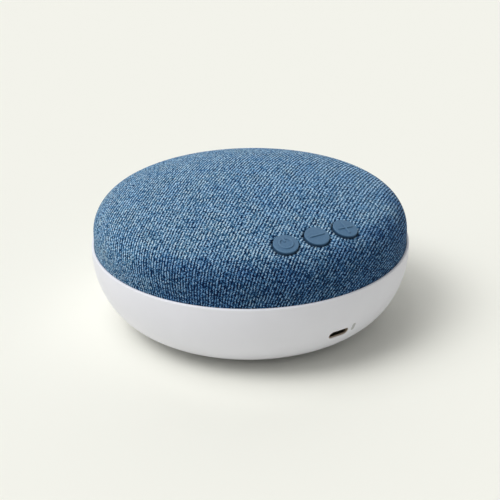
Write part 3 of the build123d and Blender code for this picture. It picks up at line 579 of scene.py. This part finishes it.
def make_cover():
    """Cloth stretched over the dome, cut out round the keys, with its hem turned under."""
    count = round(CLOTH_REACH / CLOTH_STEP)
    reaches = np.linspace(0, CLOTH_REACH, count + 1)[1:]
    turns = np.arange(CLOTH_TURNS) * 2 * math.pi / CLOTH_TURNS
    points = [(0, 0, CROWN_Z + CROWN_RADIUS)]
    flat = [(0, 0)]
    for reach in reaches:
        radius, height = meridian(reach)
        points += [(radius * math.cos(t), radius * math.sin(t), height) for t in turns]
        flat += [(reach * math.cos(t), reach * math.sin(t)) for t in turns]
    points = np.array(points)
    flat = np.array(flat)
    faces = ring_faces(len(reaches), CLOTH_TURNS)

    # Holes for the keys: the cut edge is drawn onto the hole's circle and tucked down
    place = key_place(points)
    upper = points[:, 2] > SHOULDER_Z
    inside = np.zeros(len(points), dtype=bool)
    dip = np.zeros(len(points))
    for x, y in KEY_PLACES.values():
        aside = place[:, :2] - (x, y)
        away = np.hypot(aside[:, 0], aside[:, 1])
        hole = upper & (away < KEY_HOLE)
        edge = np.zeros(len(points), dtype=bool)
        for face in faces:
            if any(hole[i] for i in face):
                edge[list(face)] = True
        edge &= ~hole
        push = (KEY_HOLE / away[edge] - 1)[:, None] * aside[edge]
        points[edge] += push[:, :1] * np.array(KEY_X) + push[:, 1:] * np.array(KEY_Y)
        away[edge] = KEY_HOLE
        tuck = upper * np.exp(-((np.maximum(away, KEY_HOLE) - KEY_HOLE) / TUCK_REACH) ** 2)
        points -= TUCK_DEPTH * tuck[:, None] * np.array(KEY_NORMAL)
        dip = np.maximum(dip, tuck)
        inside |= hole
    faces = [face for face in faces if not any(inside[i] for i in face)]

    cover = mesh_object("denim_cover", points, faces, denim("denim"))
    layer = cover.data.uv_layers.new(name="cloth")
    corners = np.array([loop.vertex_index for loop in cover.data.loops])
    layer.data.foreach_set("uv", flat[corners].ravel())
    # The dip also sets the painted shade on the cloth round the keys
    cover.data.attributes.new("dip", "FLOAT", "POINT").data.foreach_set("value", dip)
    drop_points(cover.data)
    shell = cover.modifiers.new("thickness", "SOLIDIFY")
    shell.thickness = CLOTH_THICKNESS
    shell.offset = -1
    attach(cover, "housing")
    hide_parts("fabric_cover")


def icon_distance(name, x, y):
    """Distance of (x, y) from an icon's stroke lines."""
    def bar(x0, y0, x1, y1):
        length = np.hypot(x1 - x0, y1 - y0)
        run = np.clip(((x - x0) * (x1 - x0) + (y - y0) * (y1 - y0)) / length**2, 0, 1)
        return np.hypot(x - x0 - run * (x1 - x0), y - y0 - run * (y1 - y0))

    if name == "minus":
        return bar(-ICON_BAR, 0, ICON_BAR, 0)
    if name == "plus":
        return np.minimum(bar(-ICON_BAR, 0, ICON_BAR, 0), bar(0, -ICON_BAR, 0, ICON_BAR))
    angle = np.abs(np.arctan2(x, y))
    ring = np.abs(np.hypot(x, y) - ICON_RING)
    end = (ICON_RING * math.sin(ICON_GAP), ICON_RING * math.cos(ICON_GAP))
    ring = np.where(angle > ICON_GAP, ring, np.hypot(np.abs(x) - end[0], y - end[1]))
    return np.minimum(ring, bar(0, ICON_STEM[0], 0, ICON_STEM[1]))


def make_key(name):
    """Round key with a soft edge and a raised icon, and the flange and pin under it."""
    angle = np.arange(KEY_TURNS) * 2 * math.pi / KEY_TURNS
    centre_x, centre_y = KEY_PLACES[name]

    # Rows of radius, depth under the dome or the key's plane, whether the dome's, and shade
    flat_radius = KEY_RADIUS - KEY_EDGE
    outline = [(r, 0.0, True, 1.0) for r in np.linspace(0, flat_radius, KEY_FACE_RINGS + 1)[1:]]
    for step in range(1, KEY_EDGE_STEPS + 1):
        bend = step * math.pi / (2 * KEY_EDGE_STEPS)
        # Painted highlight on the edge's first steps
        shade = KEY_RIM_HIGHLIGHT if step <= KEY_HIGHLIGHT_STEPS else 1.0
        radius = flat_radius + KEY_EDGE * math.sin(bend)
        outline.append((radius, KEY_EDGE * (1 - math.cos(bend)), True, shade))
    outline.append((KEY_RADIUS, KEY_FACE_END, True, 1.0))
    # Painted shade on the side below the face's end, and on every row under it
    outline.append((KEY_RADIUS, KEY_SIDE_START, True, KEY_SIDE_PAINTED_SHADE))
    under = KEY_FLANGE_DEPTH + KEY_FLANGE_THICKNESS
    outline += [
        (KEY_RADIUS, KEY_FLANGE_DEPTH, False, KEY_SIDE_PAINTED_SHADE),
        (KEY_FLANGE_RADIUS, KEY_FLANGE_DEPTH, False, KEY_SIDE_PAINTED_SHADE),
        (KEY_FLANGE_RADIUS, under, False, KEY_SIDE_PAINTED_SHADE),
        (KEY_PIN_RADIUS, under, False, KEY_SIDE_PAINTED_SHADE),
        (KEY_PIN_RADIUS, under + KEY_PIN_LENGTH, False, KEY_SIDE_PAINTED_SHADE),
    ]

    def place(radius, drop, on_top, shade):
        """Ring of points, and its shade at each."""
        x = radius * np.sin(angle)
        y = radius * np.cos(angle)
        shades = np.full(KEY_TURNS, shade)
        if on_top:
            square = (x + centre_x) ** 2 + (y + centre_y) ** 2
            height = np.sqrt((CROWN_RADIUS + KEY_RISE) ** 2 - square) - CROWN_RADIUS - drop
            away = icon_distance(name, x, y) - ICON_STROKE
            raised = np.clip(0.5 - away / ICON_BLEND, 0, 1)
            ridge = raised * raised * (3 - 2 * raised)
            foot_shade = (1 - ridge) * np.exp(-(np.maximum(away, 0) / ICON_HALO) ** 2)
            height += ICON_HEIGHT * ridge
            # Painted highlight on the icon's ridge, painted shade in a halo at its foot
            shades += (ICON_RIDGE_HIGHLIGHT - 1) * ridge + (ICON_HALO_PAINTED_SHADE - 1) * foot_shade
        else:
            height = np.full(KEY_TURNS, -drop)
        local = np.stack([x + centre_x, y + centre_y, height], axis=1)
        return np.array(KEY_ORIGIN) + local @ np.array([KEY_X, KEY_Y, KEY_NORMAL]), shades

    top, top_shade = place(0.0, 0.0, True, 1.0)
    rings, shades = zip(*[place(*row) for row in outline])
    points = np.concatenate((top[:1],) + rings)
    faces = [tuple(reversed(face)) for face in ring_faces(len(rings), KEY_TURNS)]
    faces.append(tuple(range(len(points) - KEY_TURNS, len(points))))
    key = mesh_object("key_cap_" + name, points, faces, slot_paint["blue_key"])
    shades = np.concatenate((top_shade[:1],) + shades)
    key.data.attributes.new("shade", "FLOAT", "POINT").data.foreach_set("value", shades)
    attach(key, "key_" + name)
    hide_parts("button_" + name)


def make_lining():
    """Thin metal lining of the charging slot, cut back to the bowl's face all round."""
    _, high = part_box("base_shell")
    side_x = high[0] - BOWL_SIDE_RADIUS * math.cos(BOWL_RIM_LEAN)
    side_z = high[2] - BOWL_SIDE_RADIUS * math.sin(BOWL_RIM_LEAN)
    out = direction(SLOT_ANGLE, 0.0)
    right = Vector((math.cos(SLOT_ANGLE), math.sin(SLOT_ANGLE), 0))

    def loop(inset, front):
        """Racetrack outline, at the lining's back or at the bowl's face."""
        end = SLOT_TALL / 2 - inset
        straight = (SLOT_WIDTH - SLOT_TALL) / 2
        rows = []
        for step in range(LINING_TURNS):
            turn = 2 * math.pi * (step + 0.5) / LINING_TURNS
            x = math.copysign(straight, math.cos(turn)) + end * math.cos(turn)
            z = SLOT_HEIGHT + end * math.sin(turn)
            depth = LINING_BACK
            if front:
                face = side_x + math.sqrt(BOWL_SIDE_RADIUS**2 - (z - side_z) ** 2)
                depth = math.sqrt(face**2 - x**2) - LINING_SETBACK
            rows.append(out * depth + right * x + Vector((0, 0, z)))
        return rows

    outer = LINING_GAP
    inner = LINING_GAP + LINING_WALL
    points = loop(outer, False) + loop(outer, True) + loop(inner, True) + loop(inner, False)
    faces = []
    for near in range(0, len(points), LINING_TURNS):
        far = (near + LINING_TURNS) % len(points)
        for t in range(LINING_TURNS):
            after = (t + 1) % LINING_TURNS
            faces.append((near + t, near + after, far + after, far + t))
    lining = mesh_object("slot_lining", points, faces, slot_paint["port_shell"])
    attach(lining, "housing")


def make_flexing(name, node, slot, outline):
    """Ring of a closed (radius, height) outline, in equal sectors."""
    span = 2 * math.pi / FLEX_SECTORS
    count = len(outline)
    faces = [(low + i, low + (i + 1) % count, low + count + (i + 1) % count, low + count + i)
             for low in range(0, FLEX_STEPS * count, count) for i in range(count)]
    for sector in range(FLEX_SECTORS):
        middle = sector * span
        points = []
        for step in range(FLEX_STEPS + 1):
            turn = middle + (step / FLEX_STEPS - 0.5) * span
            points += [(r * math.cos(turn), r * math.sin(turn), z) for r, z in outline]
        piece = mesh_object("%s_%02d" % (name, sector + 1), points, faces, slot_paint[slot])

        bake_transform(piece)
        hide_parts(node)


def make_spider():
    """Corrugated cloth ring that centres the coil."""
    low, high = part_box("speaker_spider")
    wave_length = (SPIDER_SEAT - COIL_RADIUS) / SPIDER_WAVES
    under = []
    for r in np.linspace(COIL_RADIUS, SPIDER_SEAT, SPIDER_WAVES * WAVE_STEPS + 1):
        phase = 2 * math.pi * (r - COIL_RADIUS) / wave_length
        under.append((r, low[2] + SPIDER_WAVE / 2 * (1 - math.cos(phase))))
    under.append((high[0], low[2]))
    over = [(r, z + SPIDER_THICKNESS) for r, z in reversed(under)]
    make_flexing("speaker_spider_cloth", "speaker_spider", "cloth_spider", under + over)


def make_surround():
    """Half-roll rubber ring between the cone's edge and the basket."""
    low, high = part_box("speaker_surround")
    rise = low[2] + SURROUND_WALL
    middle = CONE_RADIUS + SURROUND_ROLL
    outer = middle + SURROUND_ROLL

    def roll(radius, start, end):
        return [(middle + radius * math.cos(a), rise + radius * math.sin(a))
                for a in np.linspace(start, end, ROLL_POINTS)]

    outline = [(CONE_RADIUS - SURROUND_LIP, low[2]), (CONE_RADIUS - SURROUND_LIP, rise)]
    outline += roll(SURROUND_ROLL, math.pi, 0)
    outline += [(high[0], rise), (high[0], low[2]), (outer - SURROUND_WALL, low[2])]
    outline += roll(SURROUND_ROLL - SURROUND_WALL, 0, math.pi)
    outline.append((CONE_RADIUS + SURROUND_WALL, low[2]))
    make_flexing("speaker_surround_roll", "speaker_surround", "rubber_surround", outline)


# ------------------------------------------------------------------ stage

def make_floor():
    """Wide sheet of paper under the object."""
    half = FLOOR_SIZE / 2
    corners = [(-half, -half, 0), (half, -half, 0), (half, half, 0), (-half, half, 0)]
    floor = mesh_object("paper_floor", corners, [(0, 1, 2, 3)], floor_paint("paper"))


def make_lights():
    """The studio's world and its windows, which are soft suns."""
    world = bpy.data.worlds.new("studio")
    bpy.context.scene.world = world
    world.use_nodes = True
    nodes = world.node_tree.nodes
    links = world.node_tree.links
    light = nodes["Background"]
    light.inputs["Color"].default_value = rgba(WORLD_COLOUR)
    light.inputs["Strength"].default_value = WORLD_STRENGTH

    # What the camera, glossy surfaces and clear ones see past the floor is the same pale paper
    paper = nodes.new("ShaderNodeBackground")
    paper.inputs["Color"].default_value = rgba(FLOOR_COLOUR)
    rays = nodes.new("ShaderNodeLightPath")
    seen = rays.outputs["Is Camera Ray"]
    for kind in ("Is Glossy Ray", "Is Transmission Ray"):
        either = nodes.new("ShaderNodeMath")
        either.operation = "MAXIMUM"
        links.new(seen, either.inputs[0])
        links.new(rays.outputs[kind], either.inputs[1])
        seen = either.outputs[0]
    mix = nodes.new("ShaderNodeMixShader")
    links.new(seen, mix.inputs[0])
    links.new(light.outputs[0], mix.inputs[1])
    links.new(paper.outputs[0], mix.inputs[2])
    links.new(mix.outputs[0], nodes["World Output"].inputs["Surface"])
    for name, window in WINDOWS.items():
        lamp = bpy.data.lights.new(name, "SUN")
        lamp.energy = window["strength"]
        lamp.angle = math.radians(window["angle"])
        sun = bpy.data.objects.new(name, lamp)
        bpy.context.scene.collection.objects.link(sun)
        place = direction(math.radians(window["azimuth"]), math.radians(window["elevation"]))
        sun.rotation_euler = place.to_track_quat("Z", "Y").to_euler()


def make_camera():
    """Camera that stands where the photographer stood."""
    away = direction(CAMERA_AZIMUTH, CAMERA_ELEVATION)
    lens = bpy.data.cameras.new("camera")
    lens.lens = CAMERA_LENS
    lens.sensor_width = SENSOR_WIDTH
    lens.shift_x, lens.shift_y = CAMERA_SHIFT
    camera = bpy.data.objects.new("camera", lens)
    bpy.context.scene.collection.objects.link(camera)
    aim = away.to_track_quat("Z", "Y").to_matrix().to_4x4()
    place = Matrix.Translation(CAMERA_TARGET + CAMERA_DISTANCE * away)
    camera.matrix_world = place @ (aim @ Matrix.Rotation(CAMERA_ROLL, 4, "Z"))
    bpy.context.scene.camera = camera


# ------------------------------------------------------------------ the object

bpy.context.scene.view_settings.view_transform = "Standard"
make_camera()
make_floor()
make_lights()

# Each CAD node takes the finish of its slot in the record
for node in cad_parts.values():
    for holder in node.material_slots:
        holder.material = slot_paint[holder.material.name.split(".")[0]]

make_cover()
for key_name in KEY_PLACES:
    make_key(key_name)
make_lining()
make_spider()
make_surround()
